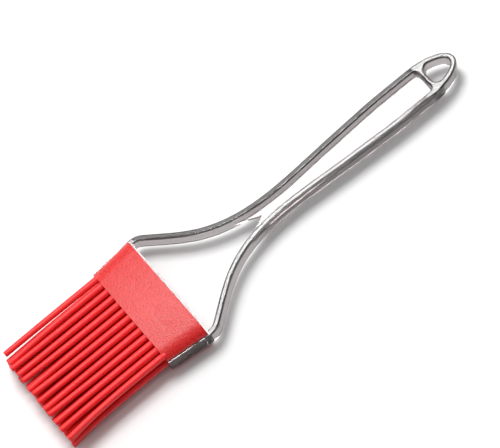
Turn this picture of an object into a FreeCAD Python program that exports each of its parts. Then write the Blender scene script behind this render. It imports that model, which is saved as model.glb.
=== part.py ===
import FreeCAD, Part
import math
import os

V = FreeCAD.Vector

# A silicone pastry brush lying on its back. +X runs from the bristle tips to the hanging hole, +Z is the
# normal of the front face, and the origin is under the middle of the whole brush, on the band's back edge.
# All sizes are in millimetres.

# Lengths along the brush
overall_length = 210.0
bristle_length = 47.5
band_length = 18.5
tip_x = overall_length / 2
bristle_tip_x = -overall_length / 2
band_low_x = bristle_tip_x + bristle_length
band_top_x = band_low_x + band_length
handle_reach = tip_x - band_top_x

# Silicone band: wider and thicker at the handle side
band_top_width = 52.0
band_low_width = 48.4
band_top_thickness = 13.8
band_low_thickness = 12.6
dome_width = 6.0
middle_z = band_top_thickness / 2

# Clear handle: its prongs stand slightly proud of the band's narrow sides
handle_thickness = 6.8
prong_proud = 0.5
prong_top_half = band_top_width / 2 + prong_proud
prong_low_half = band_low_width / 2 + prong_proud
rim_width = 2.5
web_thickness = 1.5
edge_round = 0.7
shoulder_step = 0.3
shoulder_radius = 8.0
shoulder_turn = math.radians(38.0)
shoulder_length = 1.2
crotch_reach = 46.3
web_start_reach = 30.0
web_start_half = 7.6
recess_start_reach = 31.0
recess_end_reach = 129.0
bridge_width = 1.8
hole_round = 3.0
corner_round = 2.0
cut_margin = 1.0
same_place = 0.01

# Half widths of the handle at distances from the band, from the fork through the neck to the grip
inset_samples = 12
flank_stations = [(25.0, 11.5), (40.0, 6.55), (58.0, 5.3), (80.0, 6.5), (101.0, 7.65)]
grip_end_reach = 126.0
grip_half_width = 8.0

# What the handle holds inside the silicone head
prong_inner_y = 23.0
crossbar_proud = 1.0
crossbar_depth = 2.5
tongue_depth = 13.0
tongue_half_width = 17.0
tongue_thickness = 3.0
head_clearance = 0.15

# Bristles: staggered rows from front to back
row_pitch = 3.0
bristle_pitch = 3.6
front_row_bristles = 13
row_names = ["front", "second", "third", "back"]
row_count = len(row_names)
root_radius = 1.4
tip_radius = 1.2
tip_round = 0.35
root_gap = 0.15
hinge_x = band_low_x - root_gap - root_radius


def export(shape, node):
    shape.exportStep("parts/" + node + ".step")


def reach(distance):
    """X at a distance from the band towards the hanging hole."""
    return band_top_x + distance


def mirrored(edges):
    """The same edges on the other side of the middle line, in the opposite order."""
    return [edge.mirror(V(0, 0, 0), V(0, 1, 0)) for edge in reversed(edges)]


def plan_box(x_low, x_high, y_half, z_low, z_high):
    size = V(x_high - x_low, 2 * y_half, z_high - z_low)
    return Part.makeBox(size.x, size.y, size.z, V(x_low, -y_half, z_low))


def slab(face, z_low, z_high):
    """A plan face drawn at z = 0, extruded between two heights."""
    body = face.extrude(V(0, 0, z_high - z_low))
    body.translate(V(0, 0, z_low))
    return body


def plan_face(upper):
    """The plan face bounded by edges on one side of the middle line and by their mirror images."""
    start = upper[0].Vertexes[0].Point
    base = Part.makeLine(V(start.x, -start.y, 0), start)
    edges = [base] + upper + mirrored(upper)
    return Part.Face(Part.Wire(Part.__sortEdges__(edges)))


def inset_curve(curve, inset):
    """The curve moved towards the middle line by a constant distance, with the same end directions."""
    first = curve.FirstParameter
    step = (curve.LastParameter - first) / inset_samples
    points = []
    for i in range(inset_samples + 1):
        tangent = curve.tangent(first + i * step)[0]
        points.append(curve.value(first + i * step) + V(tangent.y, -tangent.x, 0) * inset)
    moved = Part.BSplineCurve()
    moved.interpolate(
        Points=points,
        InitialTangent=curve.tangent(first)[0],
        FinalTangent=curve.tangent(curve.LastParameter)[0],
    )
    return moved


def arm_edges(inset):
    """One arm's side line from the shoulder through the flank, neck and grip to the rounded end."""
    shoulder_y = prong_top_half + shoulder_step
    bend_start = V(reach(shoulder_length), shoulder_y - inset, 0)
    centre = V(reach(shoulder_length), shoulder_y - shoulder_radius, 0)

    def on_bend(angle, radius):
        return centre + V(math.sin(angle), math.cos(angle), 0) * radius

    stations = [V(reach(distance), half_width, 0) for distance, half_width in flank_stations]
    grip_end = V(reach(grip_end_reach), grip_half_width, 0)
    flank = Part.BSplineCurve()
    flank.interpolate(
        Points=[on_bend(shoulder_turn, shoulder_radius)] + stations + [grip_end],
        InitialTangent=V(math.cos(shoulder_turn), -math.sin(shoulder_turn), 0),
        FinalTangent=V(1, 0, 0),
    )
    if inset > 0:
        flank = inset_curve(flank, inset)
    radius = shoulder_radius - inset
    bend = Part.Arc(bend_start, on_bend(shoulder_turn / 2, radius), on_bend(shoulder_turn, radius))
    end_round = Part.Ellipse(V(grip_end.x, 0, 0), tip_x - grip_end.x - inset, grip_half_width - inset)
    return [
        Part.makeLine(V(reach(shoulder_step), bend_start.y, 0), bend_start),
        bend.toShape(),
        flank.toShape(),
        end_round.toShape(0, math.pi / 2),
    ]


def handle_face():
    """The whole handle in plan, from the prongs' ends to the rounded end."""
    prong_end = V(band_low_x, prong_low_half, 0)
    prong_top = V(band_top_x, prong_top_half, 0)
    ledge = V(reach(shoulder_step), prong_top_half + shoulder_step, 0)
    return plan_face([Part.makeLine(prong_end, prong_top), Part.makeLine(prong_top, ledge)] + arm_edges(0))


def fork_opening(inner_face):
    """The gap between the arms: inside the rims, and narrowed to a pointed crotch by the web."""
    half = [(crotch_reach, 0.0), (web_start_reach, web_start_half), (crossbar_proud, band_top_width)]
    upper = [V(reach(distance), y, 0) for distance, y in half]
    lower = [V(point.x, -point.y, 0) for point in reversed(upper[1:])]
    notch = Part.Face(Part.makePolygon(upper + lower + [upper[0]]))
    return inner_face.common(notch)


def grip_region(inner_face, start, end):
    """The part of the space inside the rims between two distances from the band."""
    strip = Part.makePlane(end - start, band_top_width, V(reach(start), -band_top_width / 2, 0))
    return inner_face.common(strip)


def rounded(body, radius, wanted):
    """Round the edges that a test picks."""
    return body.makeFillet(radius, [edge for edge in body.Edges if wanted(edge)])


def upright_at(x):
    """A test for upright edges at one place along the brush."""

    def wanted(edge):
        box = edge.BoundBox
        upright = box.XLength < same_place and box.YLength < same_place
        return upright and abs(box.XMin - x) < same_place

    return wanted


def rim_of_faces(z_low, z_high):
    """A test for the level edges around the handle's front and back faces, beyond the shoulders' ledges."""

    def wanted(edge):
        box = edge.BoundBox
        level = box.ZLength < same_place
        on_face = min(abs(box.ZMax - z_low), abs(box.ZMin - z_high)) < same_place
        return level and on_face and box.XMin > reach(shoulder_step + cut_margin)

    return wanted


def make_handle():
    """The clear moulding: prongs, crossbar and tongue in the head, then fork, grip and hanging hole."""
    inner_face = plan_face(arm_edges(rim_width))
    z_low = middle_z - handle_thickness / 2
    z_high = middle_z + handle_thickness / 2
    cut_low = z_low - cut_margin
    cut_high = z_high + cut_margin
    plate = slab(handle_face(), z_low, z_high)
    prong_end_x = band_low_x - cut_margin
    between_prongs = plan_box(prong_end_x, reach(crossbar_proud), prong_inner_y, cut_low, cut_high)

    opening = slab(fork_opening(inner_face), cut_low, cut_high)
    hole_start = recess_end_reach + bridge_width
    hole = slab(grip_region(inner_face, hole_start, handle_reach), cut_low, cut_high)
    hole = rounded(hole, hole_round, upright_at(reach(hole_start)))

    recess = grip_region(inner_face, recess_start_reach, recess_end_reach)
    front = slab(recess, middle_z + web_thickness / 2, cut_high)
    front = rounded(front, corner_round, upright_at(reach(recess_end_reach)))
    back = front.mirror(V(0, 0, middle_z), V(0, 0, 1))
    plate = plate.cut([between_prongs, opening, hole, front, back])

    crossbar_x = reach(crossbar_proud - crossbar_depth)
    crossbar = plan_box(crossbar_x, reach(crossbar_proud), prong_inner_y, z_low, z_high)
    half_tongue = tongue_thickness / 2
    tongue_x = reach(-tongue_depth)
    tongue = plan_box(tongue_x, reach(0), tongue_half_width, middle_z - half_tongue, middle_z + half_tongue)
    tongue = rounded(tongue, corner_round, upright_at(tongue_x))
    body = plate.fuse([crossbar, tongue]).removeSplitter()
    return rounded(body, edge_round, rim_of_faces(z_low, z_high))


def band_section(x, width, thickness):
    """The band's section across the brush: flat front and back, elliptical domes and narrow flat sides."""
    flat_half = width / 2 - dome_width
    side_half = handle_thickness / 2
    dome_height = thickness / 2 - side_half

    def dome(y_sign, z_sign):
        centre = V(x, y_sign * flat_half, middle_z + z_sign * side_half)
        side_end = centre + V(0, y_sign * dome_width, 0)
        flat_end = centre + V(0, 0, z_sign * dome_height)
        return Part.Ellipse(side_end, flat_end, centre).toShape(0, math.pi / 2), side_end, flat_end

    front_left, front_left_side, front_left_flat = dome(1, 1)
    front_right, front_right_side, front_right_flat = dome(-1, 1)
    back_left, back_left_side, back_left_flat = dome(1, -1)
    back_right, back_right_side, back_right_flat = dome(-1, -1)
    edges = [
        Part.makeLine(front_right_flat, front_left_flat),
        front_left,
        Part.makeLine(front_left_side, back_left_side),
        back_left,
        Part.makeLine(back_left_flat, back_right_flat),
        back_right,
        Part.makeLine(back_right_side, front_right_side),
        front_right,
    ]
    return Part.Wire(Part.__sortEdges__(edges))


def on_true_planes(body):
    """The same solid, with each flat face on a plane instead of on a ruled surface."""
    faces = []
    for face in body.Faces:
        plane = face.findPlane()
        faces.append(Part.Face(plane, face.OuterWire) if plane else face)
    return Part.Solid(Part.Shell(faces))


def make_head():
    """The silicone moulding without its bristles: a core between the prongs, and lips over their faces."""
    low = band_section(band_low_x, band_low_width, band_low_thickness)
    top = band_section(band_top_x, band_top_width, band_top_thickness)
    body = on_true_planes(Part.makeLoft([low, top], True, True))
    cut_end = band_top_x + cut_margin

    half_channel = handle_thickness / 2 + head_clearance
    z_low = middle_z - half_channel
    z_high = middle_z + half_channel
    channels = plan_box(band_low_x - cut_margin, cut_end, band_top_width, z_low, z_high)
    core = plan_box(band_low_x - cut_margin, cut_end, prong_inner_y - head_clearance, z_low, z_high)
    crossbar_x = reach(crossbar_proud - crossbar_depth) - head_clearance
    crossbar_seat = plan_box(crossbar_x, cut_end, band_top_width, z_low, z_high)

    half_pocket = tongue_thickness / 2 + head_clearance
    pocket_x = reach(-tongue_depth) - head_clearance
    pocket_half_width = tongue_half_width + head_clearance
    pocket = plan_box(pocket_x, cut_end, pocket_half_width, middle_z - half_pocket, middle_z + half_pocket)
    return body.cut([channels.cut(core), crossbar_seat, pocket])


def make_bristle():
    """One bristle along X with its ball-shaped root centred on the origin and its blunt tip at -X."""
    tip = bristle_tip_x - hinge_x
    diagonal = math.sqrt(0.5)
    ball_mid = V(diagonal, diagonal, 0) * root_radius
    tip_centre = V(tip + tip_round, tip_radius - tip_round, 0)
    tip_mid = tip_centre + V(-diagonal, diagonal, 0) * tip_round
    edges = [
        Part.Arc(V(root_radius, 0, 0), ball_mid, V(0, root_radius, 0)).toShape(),
        Part.makeLine(V(0, root_radius, 0), V(tip + tip_round, tip_radius, 0)),
        Part.Arc(V(tip + tip_round, tip_radius, 0), tip_mid, V(tip, tip_radius - tip_round, 0)).toShape(),
        Part.makeLine(V(tip, tip_radius - tip_round, 0), V(tip, 0, 0)),
        Part.makeLine(V(tip, 0, 0), V(root_radius, 0, 0)),
    ]
    profile = Part.Face(Part.Wire(edges))
    return profile.revolve(V(0, 0, 0), V(1, 0, 0), 360)


def make_bristle_row(bristle, index):
    """A row of separate bristles; every second row has one fewer and stands in the gaps of its neighbours."""
    count = front_row_bristles - index % 2
    z = middle_z + ((row_count - 1) / 2 - index) * row_pitch
    solids = []
    for i in range(count):
        y = (i - (count - 1) / 2) * bristle_pitch
        solids.append(bristle.translated(V(hinge_x, y, z)))
    return Part.makeCompound(solids)


os.makedirs("parts", exist_ok=True)
export(make_handle(), "handle")
export(make_head(), "head")
bristle = make_bristle()
for index, row_name in enumerate(row_names):
    export(make_bristle_row(bristle, index), "bristle_row_" + row_name)
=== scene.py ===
import math
import random

import bmesh
import bpy
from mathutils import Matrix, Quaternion, Vector


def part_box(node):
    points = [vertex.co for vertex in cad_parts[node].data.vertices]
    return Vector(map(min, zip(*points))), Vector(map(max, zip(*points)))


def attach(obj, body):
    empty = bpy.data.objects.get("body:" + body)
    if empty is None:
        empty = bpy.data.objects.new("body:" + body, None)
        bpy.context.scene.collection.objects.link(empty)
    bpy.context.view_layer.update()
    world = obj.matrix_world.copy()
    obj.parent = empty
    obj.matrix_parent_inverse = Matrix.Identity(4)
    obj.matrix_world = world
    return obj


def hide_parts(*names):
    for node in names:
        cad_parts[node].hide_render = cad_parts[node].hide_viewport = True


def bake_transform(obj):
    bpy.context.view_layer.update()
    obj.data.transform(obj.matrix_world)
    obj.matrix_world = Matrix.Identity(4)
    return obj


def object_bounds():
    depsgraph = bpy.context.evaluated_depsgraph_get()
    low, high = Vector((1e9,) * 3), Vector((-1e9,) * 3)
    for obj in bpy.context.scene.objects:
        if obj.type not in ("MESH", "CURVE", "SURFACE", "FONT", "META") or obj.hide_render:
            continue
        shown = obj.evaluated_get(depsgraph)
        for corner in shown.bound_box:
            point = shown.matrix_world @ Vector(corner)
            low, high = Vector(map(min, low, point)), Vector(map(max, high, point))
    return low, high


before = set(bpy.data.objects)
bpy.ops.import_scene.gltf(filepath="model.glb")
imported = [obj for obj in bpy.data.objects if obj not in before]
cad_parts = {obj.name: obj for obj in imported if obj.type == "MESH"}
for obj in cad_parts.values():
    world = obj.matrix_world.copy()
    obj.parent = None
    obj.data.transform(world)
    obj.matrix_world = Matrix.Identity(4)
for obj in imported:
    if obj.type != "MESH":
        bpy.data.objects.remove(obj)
cad_low, cad_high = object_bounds()

# A silicone pastry brush lying on its back: red bristles and band, and a clear forked handle.
# Everything is in metres, with +X from the bristle tips to the hanging hole and +Z out of the front face.
MM = 0.001
head_low, head_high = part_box("head")
handle_low, handle_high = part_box("handle")
middle_z = (handle_low.z + handle_high.z) / 2
handle_half = (handle_high.z - handle_low.z) / 2

# Camera: it looks down on the front face from the near side, rolled so that the handle points up and right
view_azimuth = math.radians(-104.2)
view_elevation = math.radians(63.3)
view_roll = math.radians(-26.45)
view_distance = 0.9943
view_lens = 185.2
view_aim = Vector((0.0016, 0.0007, middle_z))

# Light: two soft boxes, a sky that is brightest in one direction, and a white paper floor
key_azimuth = math.radians(74)
key_elevation = math.radians(70)
key_size = (0.38, 0.36)
key_power = 7.2
fill_azimuth = math.radians(81)
fill_elevation = math.radians(48.5)
fill_size = (0.40, 0.22)
fill_power = 0.83
light_distance = 0.9
sky_azimuth = math.radians(100)
sky_elevation = math.radians(52)
sky_dark = (0.10, 0.10, 0.10)
sky_bright = (1.0, 1.0, 1.0)
sky_range = (-0.2, 0.95)
floor_size = 12.0
floor_colour = (0.80, 0.80, 0.80, 1)
floor_roughness = 0.9
floor_gloss = 0.1

# Clear plastic. The lean of its rims fades in above the web and past the crossbar, and out before the ring
# round the hanging hole.
plastic_tint = (0.69, 0.645, 0.65, 1)
plastic_ior = 1.52
plastic_roughness = (0.03, 0.09)
plastic_absorption = (0.50, 0.485, 0.485, 1)
plastic_density = 370.0
wave_size = 7 * MM
wave_depth = 0.09 * MM
wear_size = 0.5 * MM
rim_lean = math.tan(math.radians(6.5))
ring_length = 15 * MM
web_fade = (handle_half - 1.2 * MM, handle_half - 0.8 * MM)
crossbar_fade = (head_high.x + 1.5 * MM, head_high.x + 4 * MM)
ring_fade = (handle_high.x - ring_length - 6 * MM, handle_high.x - ring_length)

# Silicone
silicone_ior = 1.5
scatter_weight = 0.4
scatter_radius = (1.0, 0.1, 0.1)
patch_size = 9 * MM
patch_share = 0.2
mottle_range = (0.36, 0.64)
roughness_change = 0.1

# Silicone band: its section is flat in front and behind, with elliptical domes towards its narrow sides
band_low_half_width = 24.2 * MM
band_top_half_width = 26.0 * MM
band_low_half_thickness = 6.3 * MM
band_top_half_thickness = 6.9 * MM
dome_width = 6.0 * MM
dome_steps = 24
arch_centre = -5 * MM
arch_radius = 170 * MM
band_edge_round = 0.35 * MM
band_edge_steps = 4
band_edge_angle = math.radians(40)
clearance = 0.15 * MM
core_half_width = 22.85 * MM
crossbar_depth = 1.5 * MM
pocket_depth = 13.15 * MM
pocket_half_width = 17.15 * MM
pocket_half_height = 1.65 * MM
past = 2 * MM

# Bristles. The splay of the tips across the brush, and the shortening of the front row's, are given for the
# outermost ones by row and place. The others vary at random.
rows = ["front", "second", "third", "back"]
bristle_pitch = 3.6 * MM
front_row_bristles = 13
root_radius = 1.4 * MM
tip_radius = 1.2 * MM
tip_round = 0.35 * MM
tip_steps = 4
root_flare = 0.12 * MM
flare_length = 0.9 * MM
flare_stations = (0.125, 0.25, 0.5, 1.0)
root_depth = 1.2 * MM
bristle_sides = 24
bristle_rings = 26
first_seed = 40
length_change = 0.9 * MM
outward_splay = 0.5 * MM
random_splay_y = 0.25 * MM
random_splay_z = 0.2 * MM
tip_splay = {
    ("front", 0): -1.7 * MM,
    ("front", 1): -0.4 * MM,
    ("front", 11): -1.0 * MM,
    ("front", 12): -0.2 * MM,
    ("second", 0): -3.0 * MM,
    ("second", 11): -0.4 * MM,
    ("third", 0): -1.2 * MM,
    ("third", 12): -0.6 * MM,
    ("back", 0): -2.6 * MM,
}
front_row_shortening = {0: 0.3 * MM, 1: 0.0, 11: 1.2 * MM, 12: 1.8 * MM}

smooth_angle = math.radians(35)


def shader_nodes(name):
    """A new node material: its node tree, its Principled shader and the object coordinates in metres."""
    material = bpy.data.materials.new(name)
    material.use_nodes = True
    tree = material.node_tree
    shader = tree.nodes["Principled BSDF"]
    coordinates = tree.nodes.new("ShaderNodeTexCoord")
    return material, tree, shader, coordinates.outputs["Object"]


def feed(tree, socket, value):
    """Links a node's output to the socket, or gives the socket a plain number."""
    if isinstance(value, bpy.types.NodeSocket):
        tree.links.new(value, socket)
    else:
        socket.default_value = value


def noise(tree, vector, feature, detail=2.0, roughness=0.5):
    """Noise with features of about the given size in metres."""
    node = tree.nodes.new("ShaderNodeTexNoise")
    node.inputs["Scale"].default_value = 1 / feature
    node.inputs["Detail"].default_value = detail
    node.inputs["Roughness"].default_value = roughness
    tree.links.new(vector, node.inputs["Vector"])
    return node.outputs["Fac"]


def ramp(tree, factor, low, high, start, end):
    """A colour that goes from low to high as the factor goes from start to end."""
    node = tree.nodes.new("ShaderNodeValToRGB")
    node.color_ramp.elements[0].position = start
    node.color_ramp.elements[1].position = end
    node.color_ramp.elements[0].color = (*low, 1)
    node.color_ramp.elements[1].color = (*high, 1)
    tree.links.new(factor, node.inputs["Fac"])
    return node.outputs["Color"]


def spread(tree, factor, low, high, start=0.3, end=0.7):
    """A number that goes from low to high as the factor goes from start to end."""
    node = tree.nodes.new("ShaderNodeMapRange")
    node.inputs["From Min"].default_value = start
    node.inputs["From Max"].default_value = end
    node.inputs["To Min"].default_value = low
    node.inputs["To Max"].default_value = high
    tree.links.new(factor, node.inputs["Value"])
    return node.outputs["Result"]


def calculate(tree, operation, *values):
    """One arithmetic step on outputs or plain numbers."""
    node = tree.nodes.new("ShaderNodeMath")
    node.operation = operation
    for socket, value in zip(node.inputs, values):
        feed(tree, socket, value)
    return node.outputs["Value"]


def axis_value(tree, vector, axis):
    """One coordinate of a vector."""
    node = tree.nodes.new("ShaderNodeSeparateXYZ")
    tree.links.new(vector, node.inputs["Vector"])
    return node.outputs[axis]


def bump(tree, height, distance, strength=1.0, before=None):
    """A bump of the given depth in metres, on top of an earlier one."""
    node = tree.nodes.new("ShaderNodeBump")
    node.inputs["Distance"].default_value = distance
    feed(tree, node.inputs["Strength"], strength)
    tree.links.new(height, node.inputs["Height"])
    if before is not None:
        tree.links.new(before, node.inputs["Normal"])
    return node.outputs["Normal"]


def arch(tree, place):
    """A slight arch across the brush, about the line y = arch_centre."""
    off_centre = calculate(tree, "SUBTRACT", axis_value(tree, place, "Y"), arch_centre)
    squared = calculate(tree, "POWER", calculate(tree, "ABSOLUTE", off_centre), 2.0)
    return bump(tree, calculate(tree, "MULTIPLY", squared, -0.5 / arch_radius), 1.0)


def silicone(name, dark, light, roughness, gloss, glow, grain, grain_depth, arched=False):
    """Red silicone: slightly uneven colour and gloss, and a fine moulded grain."""
    material, tree, shader, place = shader_nodes(name)
    patches = noise(tree, place, patch_size, detail=3)
    fine = noise(tree, place, grain, detail=3, roughness=0.6)
    mottle = calculate(
        tree,
        "ADD",
        calculate(tree, "MULTIPLY", patches, patch_share),
        calculate(tree, "MULTIPLY", fine, 1 - patch_share),
    )
    tree.links.new(ramp(tree, mottle, dark, light, *mottle_range), shader.inputs["Base Color"])
    uneven = spread(tree, fine, roughness - roughness_change, roughness + roughness_change)
    tree.links.new(uneven, shader.inputs["Roughness"])
    before = arch(tree, place) if arched else None
    tree.links.new(bump(tree, fine, grain_depth, before=before), shader.inputs["Normal"])
    shader.inputs["IOR"].default_value = silicone_ior
    shader.inputs["Specular IOR Level"].default_value = gloss
    shader.inputs["Subsurface Weight"].default_value = scatter_weight
    shader.inputs["Subsurface Radius"].default_value = scatter_radius
    shader.inputs["Subsurface Scale"].default_value = glow
    return material


def rim_normal(tree, place):
    """Normals of the handle's rims that lean outwards, but not on the web, at the head or round the hole."""
    across = calculate(tree, "ABSOLUTE", axis_value(tree, place, "Y"))
    depth = calculate(tree, "ABSOLUTE", calculate(tree, "SUBTRACT", axis_value(tree, place, "Z"), middle_z))
    along = axis_value(tree, place, "X")
    above_web = spread(tree, depth, 0.0, 1.0, *web_fade)
    past_crossbar = spread(tree, along, 0.0, 1.0, *crossbar_fade)
    before_ring = spread(tree, along, 1.0, 0.0, *ring_fade)
    strength = calculate(tree, "MULTIPLY", above_web, past_crossbar)
    strength = calculate(tree, "MULTIPLY", strength, before_ring)
    return bump(tree, calculate(tree, "MULTIPLY", across, -rim_lean), 1.0, strength=strength)


def clear_plastic():
    """Clear polished plastic, greyer where it is thick, with soft moulding waves and fine wear."""
    material, tree, shader, place = shader_nodes("clear_plastic_moulded")
    shader.inputs["Base Color"].default_value = plastic_tint
    shader.inputs["Transmission Weight"].default_value = 1.0
    shader.inputs["IOR"].default_value = plastic_ior
    waves = noise(tree, place, wave_size, detail=1)
    wear = noise(tree, place, wear_size, detail=4, roughness=0.7)
    tree.links.new(spread(tree, wear, *plastic_roughness), shader.inputs["Roughness"])
    wavy = bump(tree, waves, wave_depth, before=rim_normal(tree, place))
    tree.links.new(wavy, shader.inputs["Normal"])
    absorption = tree.nodes.new("ShaderNodeVolumeAbsorption")
    absorption.inputs["Color"].default_value = plastic_absorption
    absorption.inputs["Density"].default_value = plastic_density
    tree.links.new(absorption.outputs["Volume"], tree.nodes["Material Output"].inputs["Volume"])
    return material


def put_material(piece, material):
    """Makes the material the piece's only one."""
    piece.data.materials.clear()
    piece.data.materials.append(material)


def new_object(name, data):
    """A new object in the scene."""
    item = bpy.data.objects.new(name, data)
    bpy.context.scene.collection.objects.link(item)
    return item


def mesh_object(name, shape):
    """A new mesh object made from a bmesh, which is freed."""
    mesh = bpy.data.meshes.new(name)
    shape.to_mesh(mesh)
    shape.free()
    return new_object(name, mesh)


def new_piece(name, shape, material):
    """A mesh object made from a bmesh, with its material."""
    bmesh.ops.recalc_face_normals(shape, faces=shape.faces)
    piece = mesh_object(name, shape)
    put_material(piece, material)
    return piece


def apply_modifiers(piece):
    """Replaces the piece's mesh by what its modifiers make of it."""
    graph = bpy.context.evaluated_depsgraph_get()
    mesh = bpy.data.meshes.new_from_object(piece.evaluated_get(graph))
    piece.modifiers.clear()
    piece.data = mesh


def smooth(piece):
    """Shades the piece smooth, apart from its sharp edges."""
    for face in piece.data.polygons:
        face.use_smooth = True
    piece.data.set_sharp_from_angle(angle=smooth_angle)


def skin(shape, rings):
    """Joins rings of vertices with the same count into a tube with closed ends."""
    for before, after in zip(rings, rings[1:]):
        count = len(before)
        for i in range(count):
            j = (i + 1) % count
            shape.faces.new((before[i], before[j], after[j], after[i]))
    shape.faces.new(rings[0])
    shape.faces.new(rings[-1])


def band_section(x):
    """The band's closed outline across the brush at x, without the channels for the prongs."""
    along = (x - head_low.x) / (head_high.x - head_low.x)
    half_width = band_low_half_width + along * (band_top_half_width - band_low_half_width)
    half_thickness = band_low_half_thickness + along * (band_top_half_thickness - band_low_half_thickness)
    points = []
    for y_sign, z_sign in ((1, 1), (-1, 1), (-1, -1), (1, -1)):
        dome = []
        for i in range(dome_steps + 1):
            turn = math.pi / 2 * i / dome_steps
            y = half_width - dome_width + dome_width * math.cos(turn)
            z = handle_half + (half_thickness - handle_half) * math.sin(turn)
            dome.append(Vector((x, y_sign * y, middle_z + z_sign * z)))
        points += dome if y_sign == z_sign else reversed(dome)
    return points


def box_cutter(low, high):
    """A box that the band is cut with, and that is removed afterwards."""
    shape = bmesh.new()
    bmesh.ops.create_cube(shape, size=1)
    size = Vector(high) - Vector(low)
    bmesh.ops.scale(shape, vec=size, verts=shape.verts)
    bmesh.ops.translate(shape, vec=Vector(low) + size / 2, verts=shape.verts)
    return mesh_object("cutter", shape)


def make_band(material):
    """The band, with open channels for the prongs, a seat for the crossbar and a pocket for the tongue."""
    shape = bmesh.new()
    rings = [[shape.verts.new(point) for point in band_section(x)] for x in (head_low.x, head_high.x)]
    skin(shape, rings)
    band = new_piece("silicone_head", shape, material)

    start_x = head_low.x - past
    end_x = head_high.x + past
    seat_x = head_high.x - crossbar_depth - clearance
    pocket_x = head_high.x - pocket_depth
    far_y = band_top_half_width + past
    z_low = middle_z - handle_half - clearance
    z_high = middle_z + handle_half + clearance
    pocket_low = middle_z - pocket_half_height
    pocket_high = middle_z + pocket_half_height
    boxes = [
        ((start_x, core_half_width, z_low), (end_x, far_y, z_high)),
        ((start_x, -far_y, z_low), (end_x, -core_half_width, z_high)),
        ((seat_x, -far_y, z_low), (end_x, far_y, z_high)),
        ((pocket_x, -pocket_half_width, pocket_low), (end_x, pocket_half_width, pocket_high)),
    ]
    cutters = [box_cutter(low, high) for low, high in boxes]
    for cutter in cutters:
        cut = band.modifiers.new("cut", "BOOLEAN")
        cut.operation = "DIFFERENCE"
        cut.solver = "EXACT"
        cut.object = cutter
    rounding = band.modifiers.new("edge_round", "BEVEL")
    rounding.width = band_edge_round
    rounding.segments = band_edge_steps
    rounding.limit_method = "ANGLE"
    rounding.angle_limit = band_edge_angle
    apply_modifiers(band)
    for cutter in cutters:
        bpy.data.objects.remove(cutter)
    smooth(band)
    band.modifiers.new("even_normals", "WEIGHTED_NORMAL").keep_sharp = True
    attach(band, "head")
    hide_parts("head")


def bristle_profile(length):
    """Distances from the band's edge and radii along one bristle, from inside the band to its blunt tip."""
    stations = [(-root_depth, root_radius), (0.0, root_radius + root_flare)]
    for share in flare_stations:
        stations.append((share * flare_length, root_radius + root_flare * (1 - share) ** 2))
    straight_end = length - tip_round
    start = flare_length
    for i in range(1, bristle_rings + 1):
        distance = start + (straight_end - start) * i / bristle_rings
        stations.append((distance, root_radius + (tip_radius - root_radius) * distance / length))
    for i in range(1, tip_steps + 1):
        turn = math.pi / 2 * i / tip_steps
        radius = tip_radius - tip_round + tip_round * math.cos(turn)
        stations.append((straight_end + tip_round * math.sin(turn), radius))
    stations.append((length, (tip_radius - tip_round) / 2))
    return stations


def add_bristle(shape, root, length, splay_y, splay_z):
    """One bristle: it leaves the band along -X and curves gently until its tip is off by the splay."""
    rings = []
    for distance, radius in bristle_profile(length):
        along = max(distance, 0) / length
        centre = root + Vector((-distance, splay_y * along ** 3, splay_z * along ** 3))
        ring = []
        for i in range(bristle_sides):
            angle = 2 * math.pi * i / bristle_sides
            ring.append(shape.verts.new(centre + Vector((0, math.cos(angle), math.sin(angle))) * radius))
        rings.append(ring)
    skin(shape, rings)


def make_bristle_row(row, index, material):
    """A row of bristles, each leaving the band and curving gently towards its splayed tip.

    Every second row has one fewer and stands in the gaps of its neighbours.
    """
    dice = random.Random(first_seed + index)
    row_low, row_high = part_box("bristle_row_" + row)
    z = (row_low.z + row_high.z) / 2
    count = front_row_bristles - index % 2
    full_length = head_low.x - row_low.x
    shape = bmesh.new()
    for i in range(count):
        y = (i - (count - 1) / 2) * bristle_pitch
        outward = abs(2 * i / (count - 1) - 1)
        length = full_length - dice.uniform(0, length_change)
        splay_y = math.copysign(outward ** 3, y) * outward_splay + dice.gauss(0, random_splay_y)
        splay_z = dice.gauss(0, random_splay_z)
        splay_y = tip_splay.get((row, i), splay_y)
        if row == "front" and i in front_row_shortening:
            length = full_length - front_row_shortening[i]
        add_bristle(shape, Vector((head_low.x, y, z)), length, splay_y, splay_z)
    piece = new_piece("bristles_" + row, shape, material)
    smooth(piece)
    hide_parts("bristle_row_" + row)
    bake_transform(piece)


def direction(azimuth, elevation):
    """The unit vector towards an azimuth and an elevation."""
    level = math.cos(elevation)
    return Vector((level * math.cos(azimuth), level * math.sin(azimuth), math.sin(elevation)))


def place_around(item, azimuth, elevation, distance, roll=0.0):
    """Puts a camera or a light at a distance from the brush and points it at the brush."""
    towards = direction(azimuth, elevation)
    item.rotation_mode = "QUATERNION"
    item.rotation_quaternion = towards.to_track_quat("Z", "Y") @ Quaternion((0, 0, 1), roll)
    item.location = view_aim + towards * distance


def make_camera():
    """The camera, which looks at the brush."""
    data = bpy.data.cameras.new("camera")
    data.lens = view_lens
    data.sensor_width = 36
    data.clip_start = 0.01
    data.clip_end = 50
    camera = new_object("camera", data)
    place_around(camera, view_azimuth, view_elevation, view_distance, view_roll)
    bpy.context.scene.camera = camera


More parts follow.
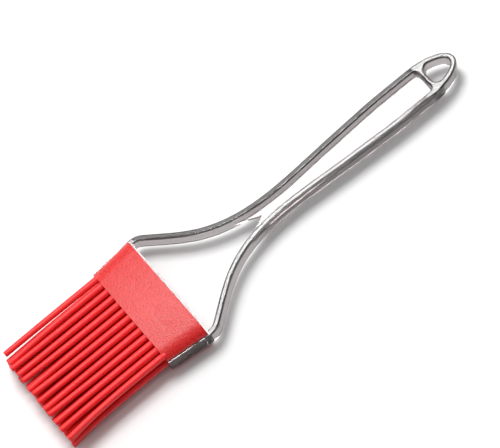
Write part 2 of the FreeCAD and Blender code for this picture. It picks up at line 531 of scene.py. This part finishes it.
def make_softbox(name, azimuth, elevation, size, power):
    """A rectangular area light aimed at the brush."""
    data = bpy.data.lights.new(name, "AREA")
    data.shape = "RECTANGLE"
    data.size, data.size_y = size
    data.energy = power
    place_around(new_object(name, data), azimuth, elevation, light_distance)


def make_world():
    """A soft grey room that is brightest overhead on the far side, and dark at the near horizon."""
    world = bpy.data.worlds.new("studio")
    world.use_nodes = True
    tree = world.node_tree
    place = tree.nodes.new("ShaderNodeTexCoord").outputs["Generated"]
    nearness = tree.nodes.new("ShaderNodeVectorMath")
    nearness.operation = "DOT_PRODUCT"
    tree.links.new(place, nearness.inputs[0])
    nearness.inputs[1].default_value = direction(sky_azimuth, sky_elevation)
    colour = ramp(tree, nearness.outputs["Value"], sky_dark, sky_bright, *sky_range)
    tree.links.new(colour, tree.nodes["Background"].inputs["Color"])
    bpy.context.scene.world = world


def make_floor():
    """A large sheet of matte white paper that the brush lies on."""
    shape = bmesh.new()
    bmesh.ops.create_grid(shape, x_segments=1, y_segments=1, size=floor_size / 2)
    floor = mesh_object("floor", shape)
    floor.location.z = cad_low.z
    material, _, shader, _ = shader_nodes("floor_paper")
    shader.inputs["Base Color"].default_value = floor_colour
    shader.inputs["Roughness"].default_value = floor_roughness
    shader.inputs["Specular IOR Level"].default_value = floor_gloss
    put_material(floor, material)


make_camera()
make_world()
make_floor()
make_softbox("key", key_azimuth, key_elevation, key_size, key_power)
make_softbox("fill", fill_azimuth, fill_elevation, fill_size, fill_power)
bpy.context.scene.view_settings.view_transform = "Standard"

band_red = silicone(
    "silicone_band_grain",
    dark=(0.51, 0.008, 0.008),
    light=(0.64, 0.022, 0.021),
    roughness=0.32,
    gloss=0.39,
    glow=1.0 * MM,
    grain=0.7 * MM,
    grain_depth=0.19 * MM,
    arched=True,
)
bristle_red = silicone(
    "silicone_bristle_satin",
    dark=(0.74, 0.018, 0.020),
    light=(0.84, 0.028, 0.030),
    roughness=0.46,
    gloss=0.36,
    glow=1.5 * MM,
    grain=0.5 * MM,
    grain_depth=0.03 * MM,
)
put_material(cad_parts["handle"], clear_plastic())
make_band(band_red)
for index, row in enumerate(rows):
    make_bristle_row(row, index, bristle_red)
